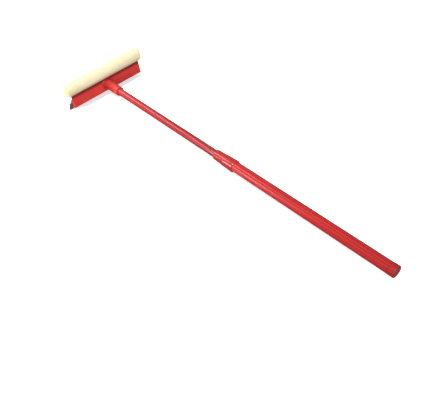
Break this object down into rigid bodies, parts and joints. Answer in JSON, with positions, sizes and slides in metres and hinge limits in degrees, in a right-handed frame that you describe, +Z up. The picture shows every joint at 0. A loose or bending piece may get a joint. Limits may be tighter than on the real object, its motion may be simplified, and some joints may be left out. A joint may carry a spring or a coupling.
{
  "type": "telescopic window squeegee",
  "caption": "Hand squeegee with a foam strip and a rubber blade on a moulded head, and a two-tube telescopic handle with a twist lock.",
  "frame": {"origin": "under the middle of the extended tool, level with the blade's edge", "axes": "+X along the head, +Y along the handle from the grip towards the head, +Z up, the side with the foam"},
  "size_m": [0.216, 0.8744, 0.0862],
  "materials": {
    "head_plastic": "moulded red, semi-gloss",
    "strip_plastic": "moulded red, semi-gloss",
    "screw_steel": "zinc plated",
    "blade_rubber": "dark grey, matt",
    "foam": "open-cell foam, yellow",
    "net_cloth": "cream nylon net",
    "backing_plastic": "moulded red",
    "tube_paint": "red paint, gloss",
    "bush_plastic": "natural acetal",
    "rivet_metal": "plain",
    "nut_plastic": "moulded red, gloss",
    "wiper_rubber": "black",
    "ferrule_plastic": "moulded red, gloss",
    "tube_steel": "zinc plated",
    "grip_plastic": "ribbed red plastic, satin",
    "cap_plastic": "moulded red, semi-gloss"
  },
  "bodies": {
    "head": {"head_frame": "head_plastic", "blade_retainer": "strip_plastic", "retainer_screws": "screw_steel", "rubber_blade": "blade_rubber", "sponge_core": "foam", "sponge_cover": "net_cloth", "sponge_backing": "backing_plastic", "backing_screws": "screw_steel", "socket_screw": "screw_steel", "inner_tube": "tube_paint", "guide_bush": "bush_plastic", "bush_rivet": "rivet_metal"},
    "handle": {"wedge_ring": "bush_plastic", "ferrule": "ferrule_plastic", "outer_tube": "tube_steel", "ribbed_sleeve": "grip_plastic", "end_cap": "cap_plastic"},
    "twist_collar": {"lock_nut": "nut_plastic", "wiper_ring": "wiper_rubber"}
  },
  "joints": [
    {"name": "handle_slide", "type": "slide", "parent": "head", "child": "handle", "axis": [0, 1, 0], "range_m": [0, 0.355]},
    {"name": "collar_twist", "type": "hinge", "parent": "handle", "child": "twist_collar", "pos_m": [0, -0.03625, 0.03684], "axis": [0, 1, 0], "range_deg": [0, 180]}
  ]
}
